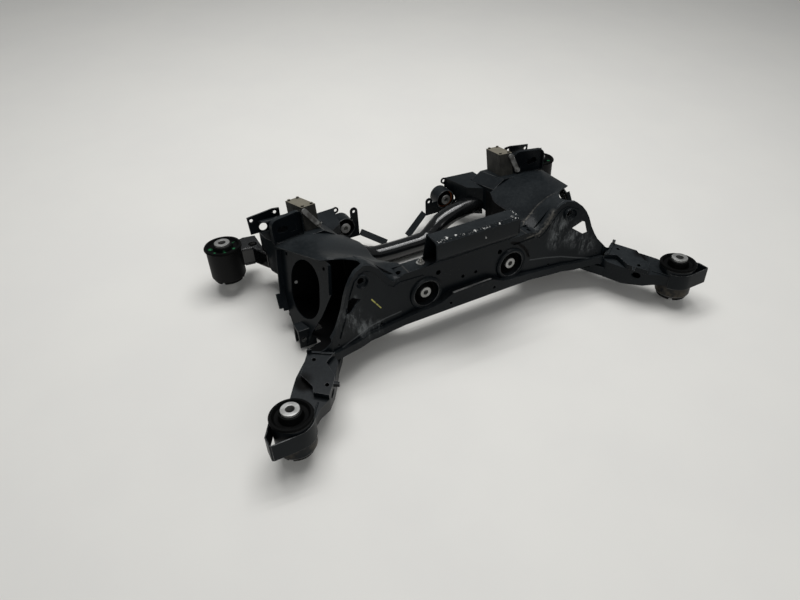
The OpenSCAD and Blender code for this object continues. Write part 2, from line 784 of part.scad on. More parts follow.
// cast block on the tower, turned and sloped with it; the right one stands a little further out
module damper_frame(side) {
    translate([damper_x, damper_y, damper_z]) rotate([-rest_pitch, 0, 0])
        translate(side > 0 ? [7, -5, 0] : [0, 0, 0]) rotate([0, 0, damper_yaw]) children();
}

module damper_space(side) {
    damper_frame(side) translate([-damper_w / 2 - 1, -1, -1]) cube([damper_w + 2, damper_l + 2,
        damper_h + 30]);
}

module damper_block(side) {
    color(cast) hand(side) damper_frame(side) {
        translate([-damper_w / 2, 0, 0]) cube([damper_w, damper_l, damper_h]);
        for (x = [-1, 1]) for (y = [8, damper_l - 8]) {
            translate([x * (damper_w / 2 - 7), y, damper_h]) cylinder(r = 4, h = 4);
        }
    }
}

// light lever across the block's rear face; both levers lean the same way
strap_from = [16, 56];
function strap_to(side) = side < 0 ? [-17, 10] : [34, 12];
function strap_run(side) = strap_from - strap_to(side);

module strap_place(side) {
    damper_frame(side) translate([strap_to(side)[0], -seam, strap_to(side)[1]])
        rotate([0, atan2(strap_run(side)[0], strap_run(side)[1]), 0]) rotate([90, 0, 0]) children();
}

// room for the lever, open towards the middle of the car
module strap_space(side) {
    strap_place(side) translate([-60, -12, -2]) cube([69, norm(strap_run(side)) + 24, 17]);
}

module damper_strap(side) {
    long = norm(strap_run(side));
    color(alloy) hand(side) strap_place(side) {
        cylinder(r = 8, h = 7);
        translate([-7, 0, 0]) cube([14, long, 6]);
        translate([0, long, 0]) cylinder(r = 7, h = 6);
        translate([0, 0, 6]) cylinder(r = 6, h = 7, $fn = 6);
    }
}

// glossy curved tube low at the front
cross_end = tower_in - seam;
cross_at = [[-cross_end, 21, 86], [-224, 18, 68], [-197, 14, 44], [-170, 9, 21], [-145, 5, 7], [-118,
    2, 1], [-70, 0, 0],
    [-20, 0, 0], [20, 0, 0], [45, 0, 2], [65, 2, 12], [85, 4, 28], [105, 7, 42], [127, 10, 52], [155,
        14, 59],
    [195, 18, 64], [cross_end, 21, 66]];
function cross_mid(i) = [cross_at[i][0], cross_y + cross_at[i][1], cross_low + cross_r + cross_at[i][2]];
cross_n = len(cross_at);
cross_sides = 20;
function cross_lean(i) = i == 0 || i == cross_n - 1 ? 0 :
    atan2(cross_mid(i + 1)[2] - cross_mid(i - 1)[2], cross_mid(i + 1)[0] - cross_mid(i - 1)[0]);
function cross_ring(i, r) = [
    for (k = [0:cross_sides - 1])
        let (a = 360 * k / cross_sides, m = cross_mid(i), w = cross_lean(i))
        [m[0] - r * sin(a) * sin(w), m[1] + r * 1.12 * cos(a), m[2] + r * sin(a) * cos(w)]
];
function cross_rings(r) = [for (i = [0:cross_n - 1]) cross_ring(i, r)];

module cross_tube(r) {
    ring_loft(cross_rings(r));
}

// the tube's own space, as a piece on that side sees it before it is mirrored
module cross_space(gap, side = 1) {
    mirror([side < 0 ? 1 : 0, 0, 0]) cross_tube(cross_r + gap);
}

module front_crossmember() {
    color(gloss) seat() difference() {
        cross_tube(cross_r);
        cross_tube(cross_r - sheet_t);
    }
}

// bracket that holds the front bush, with its shelf, ear and slanting strip
module front_bracket(side) {
    ear_top = side < 0 ? 231 : 192;
    ear_in = side < 0 ? 130 : 104;
    foot = [side < 0 ? 80 : 26, 548, 112];
    root = [ear_in + 2, 595, 138];
    shelf_at = [[201, 598], [192, 630], [tower_in + 40, 620], [tower_in + 40, tower_end + seam],
        [tower_in - seam, tower_end + seam], [tower_in - seam, 500], [214, 530]];
    color(black) hand(side) difference() {
        union() {
            translate([0, 0, shelf_z - sheet_t]) linear_extrude(sheet_t) polygon(shelf_at);
            translate([0, 0, 142]) linear_extrude(shelf_z - 142)
                polygon(sheet([[tower_in - seam, 500], [214, 530], [201, 598], [192, 630]], -sheet_t));
            translate([188, 626, shelf_z - 20]) cube([16, sheet_t, 20]);
            along_y(188, shelf_z - 8, 10, 626, 626 + sheet_t);
            translate([ear_in, 596, 134]) cube([24, sheet_t, ear_top - 146]);
            along_y(ear_in + 12, ear_top - 12, 12, 596, 596 + sheet_t);
            translate([ear_in, 596, 134]) cube([208 - ear_in, sheet_t, 40]);
            on_plane(root, foot, root + [0, 23, 20]) cube([norm(foot - root) + 12, 20, sheet_t]);
        }
        along_y(front_bush_x, front_bush_z, front_bush_r + seam, 500, 700);
        along_y(188, shelf_z - 8, 5, 600, 700);
        along_y(ear_in + 12, ear_top - 13, 4.5, 560, 700);
        translate([0, 0, tower_low - 50]) linear_extrude(300) polygon(inset(tower_at, -seam));
        if (side < 0) {
            translate([tower_in - 28, 490, 100]) cube([30, 40, cross_low + cross_r + 75 - 100]);
        }
        cross_space(seam, side);
    }
}

// rings, rubbers and sleeves of the differential bushes
module rear_bush_ring(side) {
    color(black) hand(side) turned_y(rear_bush_x, rear_bush_z, [[rear_bush_r - sheet_t, beam_y - 5],
        [rear_bush_r, beam_y - 5], [rear_bush_r, beam_y + beam_depth + 3],
        [rear_bush_r - sheet_t, beam_y + beam_depth + 3]]);
}

module bush_rubber(x, z, r, y, long) {
    inner = bush_sleeve_r + seam / 2;
    outer = r - sheet_t - seam / 2;
    turned_y(x, z, [[inner, y + 3], [inner + 4, y + 6], [lerp(inner, outer, 0.5), y + 14], [outer - 4,
        y + 15],
        [outer, y + 10], [outer, y + long - 6], [inner, y + long - 3]]);
}

module bush_sleeve(x, z, y, long) {
    difference() {
        along_y(x, z, bush_sleeve_r, y, y + long);
        along_y(x, z, bush_bore_r, y - 1, y + long + 1);
    }
}

module rear_bush_rubber(side) {
    color(rubber) hand(side) bush_rubber(rear_bush_x, rear_bush_z, rear_bush_r, beam_y, beam_depth + 4);
}

module rear_bush_sleeve(side) {
    color(alloy) hand(side) bush_sleeve(rear_bush_x, rear_bush_z, beam_y, beam_depth + 4);
}

module front_bush_ring(side) {
    y = front_bush_y + 3;
    color(black) hand(side) turned_y(front_bush_x, front_bush_z, [[front_bush_r - sheet_t, y],
        [front_bush_r, y],
        [front_bush_r, y + 46], [front_bush_r - sheet_t, y + 46]]);
}

module front_bush_rubber(side) {
    color(rubber) hand(side) bush_rubber(front_bush_x, front_bush_z, front_bush_r, front_bush_y, 54);
}

module front_bush_sleeve(side) {
    color(alloy) hand(side) bush_sleeve(front_bush_x, front_bush_z, front_bush_y, 54);
}

// bright flange bolts on the beam's top flange
module flange_bolts() {
    color(bright) for (side = [-1, 1]) hand(side) translate([bridge_half + 12, beam_y + 22,
        beam_top + seam]) {
        cylinder(r = 11, h = 3);
        cylinder(r = 7, h = 9, $fn = 6);
        cylinder(r = 4, h = 14);
    }
}

rear_face_panel();
rear_back_shell();
bridge_tube();
front_crossmember();
flange_bolts();
side_top(-1);  // side_top_left
side_top(1);  // side_top_right
side_outer(-1);  // side_outer_left
side_outer(1);  // side_outer_right
side_inner(-1);  // side_inner_left
side_inner(1);  // side_inner_right
side_floor(-1);  // side_floor_left
side_floor(1);  // side_floor_right
link_bracket(-1);  // link_bracket_left
link_bracket(1);  // link_bracket_right
rear_arm_upper(-1);  // rear_arm_upper_left
rear_arm_upper(1);  // rear_arm_upper_right
rear_arm_lower(-1);  // rear_arm_lower_left
rear_arm_lower(1);  // rear_arm_lower_right
guard_strap(-1);  // guard_strap_left
guard_strap(1);  // guard_strap_right
rear_can(-1);  // rear_can_left
rear_can(1);  // rear_can_right
rear_rubber(-1);  // rear_rubber_left
rear_rubber(1);  // rear_rubber_right
rear_sleeve(-1);  // rear_sleeve_left
rear_sleeve(1);  // rear_sleeve_right
front_can(-1);  // front_can_left
front_can(1);  // front_can_right
front_rubber(-1);  // front_rubber_left
front_rubber(1);  // front_rubber_right
front_sleeve(-1);  // front_sleeve_left
front_sleeve(1);  // front_sleeve_right
front_tower(-1);  // front_tower_left
front_tower(1);  // front_tower_right
front_arm(-1);  // front_arm_left
front_arm(1);  // front_arm_right
corner_plate(-1);  // corner_plate_left
corner_plate(1);  // corner_plate_right
arm_bracket(-1);  // arm_bracket_left
arm_bracket(1);  // arm_bracket_right
damper_block(-1);  // damper_block_left
damper_block(1);  // damper_block_right
damper_strap(-1);  // damper_strap_left
damper_strap(1);  // damper_strap_right
front_bracket(-1);  // front_bracket_left
front_bracket(1);  // front_bracket_right
rear_bush_ring(-1);  // rear_bush_ring_left
rear_bush_ring(1);  // rear_bush_ring_right
rear_bush_rubber(-1);  // rear_bush_rubber_left
rear_bush_rubber(1);  // rear_bush_rubber_right
rear_bush_sleeve(-1);  // rear_bush_sleeve_left
rear_bush_sleeve(1);  // rear_bush_sleeve_right
front_bush_ring(-1);  // front_bush_ring_left
front_bush_ring(1);  // front_bush_ring_right
front_bush_rubber(-1);  // front_bush_rubber_left
front_bush_rubber(1);  // front_bush_rubber_right
front_bush_sleeve(-1);  // front_bush_sleeve_left
front_bush_sleeve(1);  // front_bush_sleeve_right
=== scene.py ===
import json
import math

import bpy
from mathutils import Euler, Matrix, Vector
from mathutils.bvhtree import BVHTree


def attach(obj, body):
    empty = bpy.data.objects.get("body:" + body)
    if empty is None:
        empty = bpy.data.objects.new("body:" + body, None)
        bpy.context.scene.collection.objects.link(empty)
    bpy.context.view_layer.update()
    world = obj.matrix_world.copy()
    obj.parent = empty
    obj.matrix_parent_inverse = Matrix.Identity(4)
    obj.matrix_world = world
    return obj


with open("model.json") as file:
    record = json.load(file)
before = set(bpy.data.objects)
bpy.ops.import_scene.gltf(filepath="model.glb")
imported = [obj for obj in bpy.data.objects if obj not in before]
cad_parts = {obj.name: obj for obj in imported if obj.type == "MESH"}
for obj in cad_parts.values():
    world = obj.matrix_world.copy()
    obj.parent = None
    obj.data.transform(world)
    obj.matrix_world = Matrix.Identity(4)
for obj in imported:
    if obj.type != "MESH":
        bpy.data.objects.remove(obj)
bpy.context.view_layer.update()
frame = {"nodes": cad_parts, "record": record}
print("subframe: frame loaded,", len(frame["nodes"]), "nodes")

# the subframe lies pitched on the floor; points are given in the car's own axes, in mm
lie = {"pitch": math.radians(9.0), "mid": 315.166, "lift": 2.292}
metre = 1000
sides = (-1, 1)


def lay(x, y, z):
    c, s = math.cos(lie["pitch"]), math.sin(lie["pitch"])
    return Vector((x, y * c + z * s - lie["mid"], z * c - y * s + lie["lift"])) / metre


class Sig:
    def __init__(self, tree, socket=None):
        self.tree = tree
        self.socket = socket

    def node(self, kind, settings, inputs, out=0):
        made = self.tree.nodes.new(kind)
        for key, value in settings.items():
            setattr(made, key, value)
        for key, value in inputs.items():
            if isinstance(value, Sig):
                self.tree.links.new(value.socket, made.inputs[key])
            else:
                made.inputs[key].default_value = value
        return Sig(self.tree, made.outputs[out])

    def maths(self, operation, a, b):
        return self.node("ShaderNodeMath", {"operation": operation}, {0: a, 1: b})

    def vector(self, operation, inputs, out="Vector"):
        return self.node("ShaderNodeVectorMath", {"operation": operation}, inputs, out)

    def __add__(self, other):
        return self.maths("ADD", self, other)

    def __radd__(self, other):
        return self.maths("ADD", other, self)

    def __sub__(self, other):
        return self.maths("SUBTRACT", self, other)

    def __rsub__(self, other):
        return self.maths("SUBTRACT", other, self)

    def __mul__(self, other):
        return self.maths("MULTIPLY", self, other)

    def __rmul__(self, other):
        return self.maths("MULTIPLY", other, self)

    def larger(self, other):
        return self.maths("MAXIMUM", self, other)

    def blend(self, other, share):
        return self * (1.0 - share) + other * share

    # smooth step from lo to hi, falling where hi is below lo
    def step(self, lo, hi):
        first, last = (0.0, 1.0) if lo < hi else (1.0, 0.0)
        return self.node("ShaderNodeMapRange", {"interpolation_type": "SMOOTHSTEP"},
                         {0: self, 1: min(lo, hi), 2: max(lo, hi), 3: first, 4: last})

    # 1 on faces that look up
    def upward(self, lo, hi):
        normal = self.node("ShaderNodeNewGeometry", {}, {}, "Normal")
        return self.node("ShaderNodeSeparateXYZ", {}, {0: normal}, "Z").step(lo, hi)

    def stretch(self, sizes):
        return self.vector("MULTIPLY", {0: self, 1: sizes})

    def noise(self, scale, detail, rough=0.55):
        return self.node("ShaderNodeTexNoise", {}, {"Vector": self, "Scale": scale,
                                                    "Detail": detail, "Roughness": rough})

    # 1 within a core round a point, 0 beyond a radius, in metres
    def near(self, point, radius, core):
        return self.vector("DISTANCE", {0: self, 1: tuple(point)}, "Value").step(radius, core)

    # the same round the line from a to b
    def along(self, a, b, radius, core):
        run = b - a
        off = self.vector("SUBTRACT", {0: self, 1: tuple(a)})
        slope = tuple(run / run.length_squared)
        share = self.vector("DOT_PRODUCT", {0: off, 1: slope}, "Value")
        foot = self.vector("SCALE", {0: tuple(run), "Scale": share.held()})
        return self.vector("DISTANCE", {0: off, 1: foot}, "Value").step(radius, core)

    # distance from an axis
    def around(self, centre, axis):
        off = self.vector("SUBTRACT", {0: self, 1: tuple(centre)})
        turn = self.vector("CROSS_PRODUCT", {0: off, 1: tuple(axis)})
        return self.vector("LENGTH", {0: turn}, "Value")

    # sockets 6, 7 and 2 are the mix node's colours
    def mix(self, colour, other):
        return self.node("ShaderNodeMix", {"data_type": "RGBA"}, {0: self, 6: colour, 7: other}, 2)

    def held(self):
        return self.node("ShaderNodeClamp", {}, {0: self, 1: 0.0, 2: 1.0})

    def bump(self, strength, distance):
        return self.node("ShaderNodeBump", {}, {"Strength": strength, "Distance": distance,
                                                "Height": self})


def rgb(r, g, b):
    return (r, g, b, 1.0)


# soft lines through rows of points, with reach and core in mm
def trace(spot, rows, reach, join=Sig.__add__):
    radius, core = (size / metre for size in reach)
    total = 0.0
    for row in rows:
        for a, b in zip(row, row[1:]):
            total = join(spot.along(lay(*a), lay(*b), radius, core), total)
    return total


# soft dots, each a place with its reach and core in mm
def dots(spot, places):
    total = 0.0
    for x, y, z, radius, core in places:
        total = spot.near(lay(x, y, z), radius / metre, core / metre) + total
    return total


def newFinish(name, settings):
    made = bpy.data.materials.new(name)
    made.use_nodes = True
    shader = made.node_tree.nodes["Principled BSDF"]
    for key, value in settings.items():
        shader.inputs[key].default_value = value
    spot = Sig(made.node_tree).node("ShaderNodeTexCoord", {}, {}, "Object")
    return made, shader, spot


def wire(shader, links):
    tree = shader.id_data
    for key, value in links.items():
        tree.links.new(value.socket, shader.inputs[key])


# in every look a noise is its scale and detail, and limits are the ends of a smooth step
satin = {"finish": {"Specular IOR Level": 0.06, "Coat Roughness": 0.24},
         "paint": rgb(0.0023, 0.0039, 0.0053), "thin": rgb(0.0043, 0.0065, 0.0083),
         "dust": rgb(0.117, 0.127, 0.131), "chip": rgb(0.60, 0.60, 0.58),
         "rust": rgb(0.075, 0.062, 0.045), "smear": rgb(0.26, 0.275, 0.28),
         # painted shade colour for creases and hollows
         "tan": rgb(0.22, 0.205, 0.18), "paintedShade": rgb(0.0010, 0.0010, 0.0011),
         "yellow": rgb(0.45, 0.43, 0.12),
         "noises": {"cloud": (7.0, 4.0), "grain": (150.0, 3.0), "fleck": (230.0, 2.0),
                    "drift": (10.0, 2.0), "gap": (24.0, 2.0), "stain": (30.0, 5.0)},
         "wipe": (1.0, 6.0, 0.8), "wipeRun": (52.0, 52.0, 17.0),
         "streak": (1.0, 2.0), "streakRun": (9.0, 420.0, 420.0),
         "limits": {"up": (0.2, 0.95), "paint": (0.3, 0.7), "dust": (0.36, 0.66),
                    "speck": (0.68, 0.72), "drift": (0.45, 0.62), "chip": (0.45, 0.52),
                    "gap": (0.595, 0.63), "tan": (0.44, 0.62), "crest": (0.26, 0.5),
                    "wipe": (0.44, 0.66), "rust": (0.40, 0.62), "pen": (0.34, 0.46),
                    "glint": (0.30, 0.48)},
         "blend": {"dust": 0.4, "gap": 0.4, "tan": 0.6},
         "show": {"speck": 0.05, "lap": 0.6, "dust": 0.135, "wipe": 0.55, "tan": 0.24,
                  "crest": 0.34, "bead": 0.20, "rust": 0.7},
         "rough": {"base": 0.36, "cloud": 0.14, "dust": 0.22, "wipe": 0.2, "grain": 0.06},
         "raised": {"grain": 0.05, "fleck": 0.03, "ridge": 0.9, "bead": 0.5},
         # the even layer of dust on all tops is partly painted light
         "bump": (0.55, 0.0026), "topLightFilm": 0.25, "coat": 0.16, "coatDust": 0.06}
# places of the marks with their reach and core, in the car's axes in mm
worn = {"chips": [(-12, 151, 326, 5, 2.5), (-90, 157, 329, 6, 3), (-64, 155, 328, 4, 2),
                  (-44, 151, 325, 4, 2), (19, 148, 300, 4, 2), (103, 158, 329, 5, 2.5),
                  (60, 150, 326, 4, 2)],
        "edges": [([(-116, 150, 328), (118, 150, 328)], (7, 1)),
                  ([(-110, 194, 331), (118, 194, 331)], (6, 1)),
                  ([(119, 150, 328), (119, 196, 331)], (5, 1)),
                  ([(119, 147, 322), (119, 146, 270)], (5, 1))],
        "ridges": [[(200, 230, 243), (207, 237, 247), (227, 243, 257), (267, 252, 278),
                    (303, 249, 297)],
                   [(181, 187, 229), (220, 186, 232), (246, 185, 254), (262, 186, 284)]],
        "laps": [[(s * 178, 189, 244), (s * 178, 224, 244)] for s in sides],
        "beads": [[(-384, 146, 124), (-345, 160, 126), (-300, 178, 129), (-250, 185, 132),
                   (-205, 187, 135)],
                  [(198, 187, 155), (250, 185, 146), (300, 178, 137), (345, 160, 128),
                   (397, 140, 118)]],
        "smears": [(-352, 154, 190, 50, 4), (-316, 172, 135, 46, 4), (-338, 163, 236, 16, 4),
                   (-271, 182, 118, 26, 4), (283, 178, 243, 44, 4), (329, 164, 204, 52, 4),
                   (360, 152, 169, 40, 4), (276, 179, 198, 40, 4)],
        # the hook-shaped crease and the patches on both rear arms are painted shade
        "hook": [[(132, 187, 229), (152, 187, 222), (170, 187, 206), (184, 187, 188),
                  (190, 187, 170)]],
        "paintedShade": [(s * 506, 87, 112, 32, 16) for s in sides],
        "rust": [(s * 567, 0, 34, 60, 45) for s in sides],
        "pen": [[(-286, 178, 208), (-262, 182, 172)]],
        "glint": [[(-56, 172, 148), (58, 174, 148)]],
        "reach": {"fold": (15, 1), "ridge": (4.5, 0), "lap": (3, 0), "bead": (3.4, 0.6),
                  "hook": (5.5, 3), "pen": (2.2, 1.2), "glint": (5, 1.5)}}


def satinBlack():
    made, shader, spot = newFinish("satinBlack", satin["finish"])
    limits, blend, show, reach = satin["limits"], satin["blend"], satin["show"], worn["reach"]
    rough, raised, topLightFilm = satin["rough"], satin["raised"], satin["topLightFilm"]
    noises = {key: spot.noise(*sizes) for key, sizes in satin["noises"].items()}
    cloud, grain, fleck = noises["cloud"], noises["grain"], noises["fleck"]
    settled = cloud.blend(grain, blend["dust"]).step(*limits["dust"])
    # dust on faces that look up: patches of settled dust on an even layer over all tops, the even
    # layer partly painted light on the tops
    dust = spot.upward(*limits["up"]) * (topLightFilm + settled * (1.0 - topLightFilm))
    specks = fleck.step(*limits["speck"]) * noises["drift"].step(*limits["drift"])
    chips = specks * show["speck"] + dots(spot, worn["chips"]) * grain.step(*limits["chip"])
    broken = fleck.blend(noises["gap"], blend["gap"]).step(*limits["gap"])
    for row, size in worn["edges"]:
        chips = chips + trace(spot, [row], size) * broken
    # ridges in dusty folds on the right shoulder, lap edges by the saddle, beads on both ears
    fold = trace(spot, worn["ridges"], reach["fold"])
    ridge = trace(spot, worn["ridges"], reach["ridge"])
    ridge = trace(spot, worn["laps"], reach["lap"]) * show["lap"] + ridge
    bead = trace(spot, worn["beads"], reach["bead"], Sig.larger)
    tan = fold.held() * cloud.blend(grain, blend["tan"]).step(*limits["tan"])
    crest = ridge.held() * grain.step(*limits["crest"])
    wipe = spot.stretch(satin["wipeRun"]).noise(*satin["wipe"]).step(*limits["wipe"])
    wipes = dots(spot, worn["smears"]) * wipe
    # painted shade, black along the hook-shaped crease round the right bush and in the hollow on
    # top of each rear arm
    shadeMask = (trace(spot, worn["hook"], reach["hook"]) + dots(spot, worn["paintedShade"])).held()
    rusty = dots(spot, worn["rust"]) * noises["stain"].step(*limits["rust"])
    pen = trace(spot, worn["pen"], reach["pen"]) * grain.step(*limits["pen"])
    # painted highlight: the reflection of the tube lamps as a bright line along the step between
    # the bushes
    streak = spot.stretch(satin["streakRun"]).noise(*satin["streak"]).step(*limits["glint"])
    glint = trace(spot, worn["glint"], reach["glint"]) * streak
    layers = [(dust * show["dust"], "dust"), (wipes * show["wipe"], "smear"),
              (tan * show["tan"], "tan"), (crest * show["crest"], "tan"),
              (bead * show["bead"], "smear"), (shadeMask, "paintedShade"), (rusty * show["rust"], "rust"),
              # the chip colour also paints the glint, a painted highlight
              (pen, "yellow"), ((chips + glint).held(), "chip")]
    colour = cloud.step(*limits["paint"]).mix(satin["paint"], satin["thin"])
    for share, paint in layers:
        colour = share.mix(colour, satin[paint])
    roughness = (rough["base"] + cloud * rough["cloud"] + dust * rough["dust"]
                 + wipes * rough["wipe"] + grain * rough["grain"])
    relief = (grain * raised["grain"] + fleck * raised["fleck"]
              + ridge * raised["ridge"] + bead * raised["bead"])
    coat = (satin["coat"] - dust * satin["coatDust"]) * (1.0 - shadeMask)
    wire(shader, {"Base Color": colour, "Roughness": roughness, "Coat Weight": coat,
                  "Normal": relief.bump(*satin["bump"])})
    return made


edgeLook = {"finish": {"Specular IOR Level": 0.55}, "sound": rgb(0.006, 0.007, 0.008),
            "rubbedHighlight": rgb(0.110, 0.114, 0.115), "patch": (26.0, 4.0), "fine": (190.0, 2.0),
            "blend": 0.4, "limits": (0.42, 0.66), "rough": 0.26, "roughPatch": 0.16}


# broken edges of the pressings, where the coat is thin and worn; the lighter patches are also
# painted highlight along the edges
def wornEdgeHighlight():
    made, shader, spot = newFinish("wornEdgeHighlight", edgeLook["finish"])
    patch = spot.noise(*edgeLook["patch"]).blend(spot.noise(*edgeLook["fine"]), edgeLook["blend"])
    colour = patch.step(*edgeLook["limits"]).mix(edgeLook["sound"], edgeLook["rubbedHighlight"])
    roughness = edgeLook["rough"] + patch * edgeLook["roughPatch"]
    wire(shader, {"Base Color": colour, "Roughness": roughness})
    return made


gloss = {"finish": {"Specular IOR Level": 0.55}, "paint": rgb(0.0030, 0.0034, 0.0038),
         "thin": rgb(0.0060, 0.0066, 0.0070), "dust": rgb(0.11, 0.11, 0.105),
         "cloud": (11.0, 4.0), "grain": (170.0, 3.0), "runs": (34.0, 3.0),
         "limits": {"up": (0.3, 0.95), "dust": (0.5, 0.75), "paint": (0.35, 0.7)},
         "blend": {"dust": 0.4, "runs": 0.2}, "show": 0.10, "rough": 0.07, "roughCloud": 0.09,
         "roughDust": 0.25, "bump": (0.10, 0.002)}


def glossBlack():
    made, shader, spot = newFinish("glossBlack", gloss["finish"])
    limits, blend = gloss["limits"], gloss["blend"]
    cloud, grain = spot.noise(*gloss["cloud"]), spot.noise(*gloss["grain"])
    dust = spot.upward(*limits["up"]) * cloud.blend(grain, blend["dust"]).step(*limits["dust"])
    colour = cloud.step(*limits["paint"]).mix(gloss["paint"], gloss["thin"])
    colour = (dust * gloss["show"]).mix(colour, gloss["dust"])
    runs = spot.noise(*gloss["runs"]).blend(grain, blend["runs"])
    roughness = gloss["rough"] + cloud * gloss["roughCloud"] + dust * gloss["roughDust"]
    wire(shader, {"Base Color": colour, "Roughness": roughness,
                  "Normal": runs.bump(*gloss["bump"])})
    return made


rubberLook = {"finish": {"Specular IOR Level": 0.06}, "bulk": rgb(0.0012, 0.0013, 0.0013),
              "bloom": rgb(0.007, 0.007, 0.007), "green": rgb(0.03, 0.20, 0.08),
              "copper": rgb(0.30, 0.10, 0.04),
              "cloud": (30.0, 4.0), "fine": (260.0, 3.0), "dry": (120.0, 3.0), "blend": 0.4,
              "limits": {"bloom": (0.5, 0.8), "green": (0.42, 0.56)},
              "show": {"green": 0.75, "copper": 0.8}, "rough": 0.48, "roughFine": 0.2,
              "bump": (0.10, 0.0008)}
# paint dabs in a ring on each front mount, as turn in degrees and size in mm
dabs = {"middle": (537, 590, 226), "ring": 33, "core": 1 / 3,
        "turns": [(20, 7), (64, 9), (118, 6), (171, 9), (214, 6), (262, 8), (318, 7)]}
# copper ring of the right front bush, its limits in metres
copperRing = {"middle": (175, 589, 174), "inner": (0.0245, 0.0258), "outer": (0.0284, 0.0270),
              "reach": (0.05, 0.045)}


def dabPlaces():
    x, y, z = dabs["middle"]
    places = []
    for s in sides:
        for turn, size in dabs["turns"]:
            a = math.radians(turn)
            over, back = dabs["ring"] * math.cos(a), dabs["ring"] * math.sin(a)
            places.append((s * x + over, y + back, z, size, size * dabs["core"]))
    return places


def bushRubber():
    made, shader, spot = newFinish("bushRubber", rubberLook["finish"])
    limits, show = rubberLook["limits"], rubberLook["show"]
    cloud, fine = spot.noise(*rubberLook["cloud"]), spot.noise(*rubberLook["fine"])
    bloom = cloud.blend(fine, rubberLook["blend"]).step(*limits["bloom"])
    colour = bloom.mix(rubberLook["bulk"], rubberLook["bloom"])
    green = dots(spot, dabPlaces()) * spot.noise(*rubberLook["dry"]).step(*limits["green"])
    colour = (green * show["green"]).mix(colour, rubberLook["green"])
    middle = lay(*copperRing["middle"])
    ring = spot.around(middle, (lay(0, 1, 0) - lay(0, 0, 0)).normalized())
    band = ring.step(*copperRing["inner"]) * ring.step(*copperRing["outer"])
    copper = band * spot.near(middle, *copperRing["reach"])
    colour = (copper * show["copper"]).mix(colour, rubberLook["copper"])
    roughness = rubberLook["rough"] + fine * rubberLook["roughFine"]
    wire(shader, {"Base Color": colour, "Roughness": roughness,
                  "Normal": fine.bump(*rubberLook["bump"])})
    return made


alloyLook = {"bright": rgb(0.50, 0.50, 0.49), "dull": rgb(0.27, 0.27, 0.26), "cloud": (40.0, 4.0),
             "turnedRun": (1.0, 1.0, 900.0), "turned": (1.0, 2.0), "blend": 0.3,
             "limits": (0.35, 0.7), "rough": 0.36, "roughCloud": 0.18, "metal": 0.7,
             "metalCloud": 0.2, "bump": (0.08, 0.0006)}


def sleeveAlloy():
    made, shader, spot = newFinish("sleeveAlloy", {})
    cloud = spot.noise(*alloyLook["cloud"])
    turned = spot.stretch(alloyLook["turnedRun"]).noise(*alloyLook["turned"])
    shine = cloud.blend(turned, alloyLook["blend"]).step(*alloyLook["limits"])
    wire(shader, {"Base Color": shine.mix(alloyLook["dull"], alloyLook["bright"]),
                  "Roughness": alloyLook["rough"] + cloud * alloyLook["roughCloud"],
                  "Metallic": alloyLook["metal"] + cloud * alloyLook["metalCloud"],
                  "Normal": cloud.bump(*alloyLook["bump"])})
    return made


leverLook = {"finish": {"Specular IOR Level": 0.4}, "clean": rgb(0.24, 0.24, 0.23),
             "grime": rgb(0.10, 0.097, 0.09), "cloud": (60.0, 4.0), "cast": (300.0, 2.0),
             "limits": (0.34, 0.62), "rough": 0.5, "roughCloud": 0.2, "metal": 0.35,
             "metalCloud": 0.2, "bump": (0.15, 0.0006)}


def leverAlloy():
    made, shader, spot = newFinish("leverAlloy", leverLook["finish"])
    cloud = spot.noise(*leverLook["cloud"])
    colour = cloud.step(*leverLook["limits"]).mix(leverLook["grime"], leverLook["clean"])
    wire(shader, {"Base Color": colour,
                  "Roughness": leverLook["rough"] + cloud * leverLook["roughCloud"],
                  "Metallic": leverLook["metal"] + cloud * leverLook["metalCloud"],
                  "Normal": spot.noise(*leverLook["cast"]).bump(*leverLook["bump"])})
    return made


castLook = {"finish": {"Specular IOR Level": 0.2}, "iron": rgb(0.017, 0.017, 0.015),
            "stain": rgb(0.036, 0.035, 0.030), "top": rgb(0.175, 0.16, 0.125),
            "cloud": (35.0, 5.0), "sand": (420.0, 3.0), "runs": (1.0, 4.0),
            "runsRun": (60.0, 60.0, 8.0), "blend": 0.5,
            "limits": {"up": (0.6, 0.95), "stain": (0.38, 0.62)}, "show": 0.62, "showCloud": 0.5,
            "rough": 0.66, "roughSand": 0.2, "bump": (0.35, 0.001)}


def damperCast():
    made, shader, spot = newFinish("damperCast", castLook["finish"])
    limits = castLook["limits"]
    cloud, sand = spot.noise(*castLook["cloud"]), spot.noise(*castLook["sand"])
    runs = spot.stretch(castLook["runsRun"]).noise(*castLook["runs"])
    stain = cloud.blend(runs, castLook["blend"]).step(*limits["stain"])
    colour = stain.mix(castLook["iron"], castLook["stain"])
    top = spot.upward(*limits["up"]) * (castLook["show"] + cloud * castLook["showCloud"])
    colour = top.mix(colour, castLook["top"])
    wire(shader, {"Base Color": colour,
                  "Roughness": castLook["rough"] + sand * castLook["roughSand"],
                  "Normal": sand.bump(*castLook["bump"])})
    return made


zincLook = {"bright": rgb(0.66, 0.66, 0.64), "dull": rgb(0.38, 0.37, 0.34), "cloud": (90.0, 4.0),
            "limits": (0.35, 0.65), "rough": 0.24, "roughCloud": 0.2, "metal": 0.9,
            "metalCloud": 0.08}


def boltZinc():
    made, shader, spot = newFinish("boltZinc", {})
    cloud = spot.noise(*zincLook["cloud"])
    colour = cloud.step(*zincLook["limits"]).mix(zincLook["dull"], zincLook["bright"])
    wire(shader, {"Base Color": colour,
                  "Roughness": zincLook["rough"] + cloud * zincLook["roughCloud"],
                  "Metallic": zincLook["metal"] + cloud * zincLook["metalCloud"]})
    return made


insideLook = {"paint": rgb(0.0016, 0.0018, 0.0020), "lit": rgb(0.0034, 0.0036, 0.0038),
              "spot": rgb(0.5, 0.5, 0.49), "cloud": (9.0, 4.0), "limits": (0.3, 0.7),
              "rough": 0.5, "roughCloud": 0.2, "light": [(-391, 443, 142, 6, 3)],
              "gleam": {"insideShadeBlack": 0.05, "canBlack": 0.16}}
